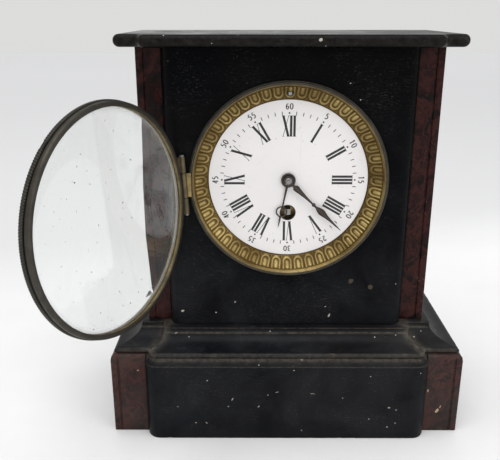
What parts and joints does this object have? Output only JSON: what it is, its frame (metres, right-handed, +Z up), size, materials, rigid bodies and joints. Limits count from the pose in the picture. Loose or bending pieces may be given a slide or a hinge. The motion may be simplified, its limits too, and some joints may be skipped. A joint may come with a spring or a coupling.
{
  "type": "mantel clock",
  "caption": "Flat-topped slate mantel clock with red marble strips, round enamel dial in a gilt ring, hinged glazed bezel and a pendulum movement.",
  "frame": {"origin": "middle of the base's underside", "axes": "+X to the clock's right as seen from the front, +Y to its back, +Z up"},
  "size_m": [0.2277, 0.2046, 0.24],
  "materials": {
    "slate": "honed and waxed, scuffed",
    "red_marble": "polished, mottled",
    "gilt_brass": "stamped and lacquered, worn",
    "dark_brass": "dark patina",
    "enamel": "glossy",
    "clear_glass": "polished, bevelled",
    "steel": "satin",
    "blackened_steel": "blackened",
    "brass": "satin"
  },
  "bodies": {
    "case": {"top_slab": "slate", "front_panel": "slate", "marble_strip_left": "red_marble", "marble_strip_right": "red_marble", "side_wall_left": "slate", "side_wall_right": "slate", "back_wall": "slate", "waist_moulding_front": "slate", "waist_moulding_left": "slate", "waist_moulding_right": "slate", "waist_rail_back": "slate", "base_front": "slate", "base_marble_left": "red_marble", "base_marble_right": "red_marble", "base_side_left": "slate", "base_side_right": "slate", "base_back": "slate", "bottom_plate": "slate", "bezel_ring": "dark_brass", "sight_ring": "gilt_brass", "dial": "enamel", "dial_plate": "brass", "door_hinge_pin": "steel", "front_plate": "brass", "back_plate": "brass", "pillars": "brass", "pillar_pins": "steel", "back_cock": "brass", "click_spring": "steel", "back_ring": "brass", "back_hinge_pin": "steel", "movement_straps": "brass", "frame_screws": "steel"},
    "door": {"door_rim": "dark_brass", "door_glass": "clear_glass"},
    "back_door": {"back_door_rim": "brass", "back_door_glass": "clear_glass"},
    "minute_arbor": {"centre_wheel": "steel", "cannon_pinion": "steel", "minute_hand": "blackened_steel", "hand_collet": "steel"},
    "hour": {"hour_wheel": "brass", "hour_hand": "blackened_steel"},
    "minute_work": {"minute_wheel": "brass"},
    "intermediate": {"intermediate_wheel": "brass"},
    "spring_barrel": {"barrel": "brass", "barrel_cover": "brass", "mainspring": "steel"},
    "third": {"third_wheel": "brass"},
    "escape": {"escape_wheel": "brass"},
    "pallets": {"anchor": "steel", "crutch": "steel"},
    "pendulum": {"suspension_spring": "steel", "pendulum_rod": "steel", "pendulum_bob": "brass", "rating_nut": "steel"},
    "winding": {"winding_arbor": "steel", "ratchet_wheel": "steel"},
    "click_lever": {"click": "steel"},
    "regulator": {"regulator_arbor": "steel"}
  },
  "joints": [
    {"name": "door_hinge", "type": "hinge", "parent": "case", "child": "door", "pos_m": [-0.06, -0.03385, 0.15681], "axis": [-0.0558, 0, 0.9984], "range_deg": [0, 117.4]},
    {"name": "back_door_hinge", "type": "hinge", "parent": "case", "child": "back_door", "pos_m": [0.0584, 0.0558, 0.15801], "axis": [0, 0, 1], "range_deg": [-110, 0]},
    {"name": "minute_hand_turn", "type": "hinge", "parent": "case", "child": "minute_arbor", "pos_m": [0, -0.03035, 0.15801], "axis": [0, 1, 0], "continuous": true},
    {"name": "hour_hand_turn", "type": "hinge", "parent": "case", "child": "hour", "pos_m": [0, -0.03035, 0.15801], "axis": [0, 1, 0], "continuous": true},
    {"name": "minute_wheel_turn", "type": "hinge", "parent": "case", "child": "minute_work", "pos_m": [-0.00891, -0.01655, 0.16692], "axis": [0, 1, 0], "continuous": true},
    {"name": "intermediate_turn", "type": "hinge", "parent": "case", "child": "intermediate", "pos_m": [-0.01561, -0.01435, 0.15015], "axis": [0, 1, 0], "continuous": true},
    {"name": "barrel_turn", "type": "hinge", "parent": "case", "child": "spring_barrel", "pos_m": [0, -0.01435, 0.13801], "axis": [0, 1, 0], "continuous": true},
    {"name": "third_turn", "type": "hinge", "parent": "case", "child": "third", "pos_m": [0.00739, -0.01435, 0.16995], "axis": [0, 1, 0], "continuous": true},
    {"name": "escape_turn", "type": "hinge", "parent": "case", "child": "escape", "pos_m": [0, -0.01435, 0.18001], "axis": [0, 1, 0], "continuous": true},
    {"name": "pendulum_swing", "type": "hinge", "parent": "case", "child": "pendulum", "pos_m": [0, 0.02665, 0.19251], "axis": [0, 1, 0], "range_deg": [-3, 3]},
    {"name": "pallet_rock", "type": "hinge", "parent": "case", "child": "pallets", "pos_m": [0, 0.01585, 0.19251], "axis": [0, 1, 0], "range_deg": [-3, 3]},
    {"name": "winding_turn", "type": "hinge", "parent": "case", "child": "winding", "pos_m": [0, -0.01655, 0.13801], "axis": [0, 1, 0], "continuous": true},
    {"name": "click_lift", "type": "hinge", "parent": "case", "child": "click_lever", "pos_m": [0.01035, 0.01585, 0.14455], "axis": [0, 1, 0], "range_deg": [-6, 0], "stiffness_Nm_per_rad": 0.002, "springref_deg": 5.73},
    {"name": "regulator_turn", "type": "hinge", "parent": "case", "child": "regulator", "pos_m": [0, -0.0253, 0.20821], "axis": [0, 1, 0], "continuous": true}
  ],
  "couplings": [
    {"joint": "third_turn", "follows": "escape_turn", "ratio": -0.083333},
    {"joint": "minute_hand_turn", "follows": "escape_turn", "ratio": 0.0069444},
    {"joint": "hour_hand_turn", "follows": "escape_turn", "ratio": 0.0005787},
    {"joint": "minute_wheel_turn", "follows": "escape_turn", "ratio": -0.0023148},
    {"joint": "intermediate_turn", "follows": "escape_turn", "ratio": -0.0013021},
    {"joint": "barrel_turn", "follows": "escape_turn", "ratio": 0.00017133},
    {"joint": "pallet_rock", "follows": "pendulum_swing", "ratio": 1}
  ]
}
